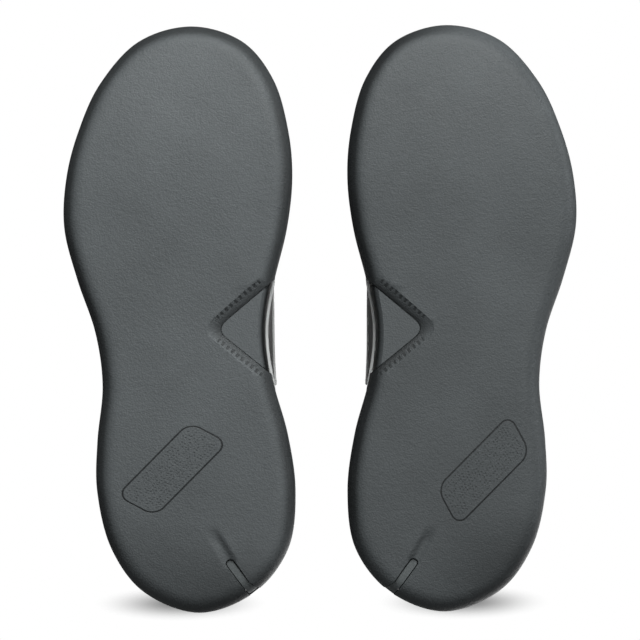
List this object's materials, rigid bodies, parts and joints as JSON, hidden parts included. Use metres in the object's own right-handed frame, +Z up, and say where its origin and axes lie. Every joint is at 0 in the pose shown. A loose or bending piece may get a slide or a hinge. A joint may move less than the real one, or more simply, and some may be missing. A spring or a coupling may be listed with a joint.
{
  "type": "bowling shoe pair",
  "caption": "Pair of lace-up bowling shoes with smooth one-piece rubber cup soles, an arch window and low padded leather uppers.",
  "frame": {"origin": "on the floor, midway between the two shoes and halfway along their soles", "axes": "+Z up, toes towards -Y, heels towards +Y, the left shoe towards +X"},
  "size_m": [0.2606, 0.3, 0.1265],
  "materials": {
    "rubber": "matte, fine pebble",
    "shank": "satin",
    "midsole_foam": "matte foam",
    "gel": "satin",
    "board": "fibre board",
    "sockliner": "brushed",
    "upper_leather": "semi-gloss, fine grain",
    "trim_leather": "smooth",
    "saddle_leather": "smooth white",
    "stiffener": "matte",
    "padding": "open foam",
    "lining_fabric": "knitted mesh",
    "piping": "smooth",
    "webbing": "woven",
    "lace": "braided"
  },
  "bodies": {
    "right_shoe": {"right_outsole": "rubber", "right_shank_plate": "shank", "right_midsole": "midsole_foam", "right_heel_cushion": "gel", "right_lasting_board": "board", "right_sockliner": "sockliner", "right_vamp": "upper_leather", "right_toe_cap": "upper_leather", "right_quarter_medial": "upper_leather", "right_quarter_lateral": "upper_leather", "right_eyestay_medial": "trim_leather", "right_eyestay_lateral": "trim_leather", "right_saddle_medial": "saddle_leather", "right_saddle_lateral": "saddle_leather", "right_heel_counter": "trim_leather", "right_heel_stiffener": "stiffener", "right_toe_puff": "stiffener", "right_side_foam_medial": "padding", "right_side_foam_lateral": "padding", "right_collar_pad": "padding", "right_lining": "lining_fabric", "right_waist_piping": "piping", "right_pull_tab": "webbing", "right_lace": "lace"},
    "right_tongue": {"right_tongue_cover": "upper_leather", "right_tongue_padding": "padding", "right_tongue_lining": "lining_fabric"},
    "left_shoe": {"left_outsole": "rubber", "left_shank_plate": "shank", "left_midsole": "midsole_foam", "left_heel_cushion": "gel", "left_lasting_board": "board", "left_sockliner": "sockliner", "left_vamp": "upper_leather", "left_toe_cap": "upper_leather", "left_quarter_medial": "upper_leather", "left_quarter_lateral": "upper_leather", "left_eyestay_medial": "trim_leather", "left_eyestay_lateral": "trim_leather", "left_saddle_medial": "saddle_leather", "left_saddle_lateral": "saddle_leather", "left_heel_counter": "trim_leather", "left_heel_stiffener": "stiffener", "left_toe_puff": "stiffener", "left_side_foam_medial": "padding", "left_side_foam_lateral": "padding", "left_collar_pad": "padding", "left_lining": "lining_fabric", "left_waist_piping": "piping", "left_pull_tab": "webbing", "left_lace": "lace"},
    "left_tongue": {"left_tongue_cover": "upper_leather", "left_tongue_padding": "padding", "left_tongue_lining": "lining_fabric"}
  },
  "joints": [
    {"name": "right_shoe_lifts", "type": "slide", "parent": "left_shoe", "child": "right_shoe", "axis": [0, 0, 1], "range_m": [0, 0.2]},
    {"name": "right_tongue_hinge", "type": "hinge", "parent": "right_shoe", "child": "right_tongue", "pos_m": [-0.06876, -0.07308, 0.0722], "axis": [-1, 0, 0], "range_deg": [0, 12], "stiffness_Nm_per_rad": 0.3, "springref_deg": -11.46},
    {"name": "left_tongue_hinge", "type": "hinge", "parent": "left_shoe", "child": "left_tongue", "pos_m": [0.06876, -0.07308, 0.0722], "axis": [-1, 0, 0], "range_deg": [0, 12], "stiffness_Nm_per_rad": 0.3, "springref_deg": -11.46}
  ]
}
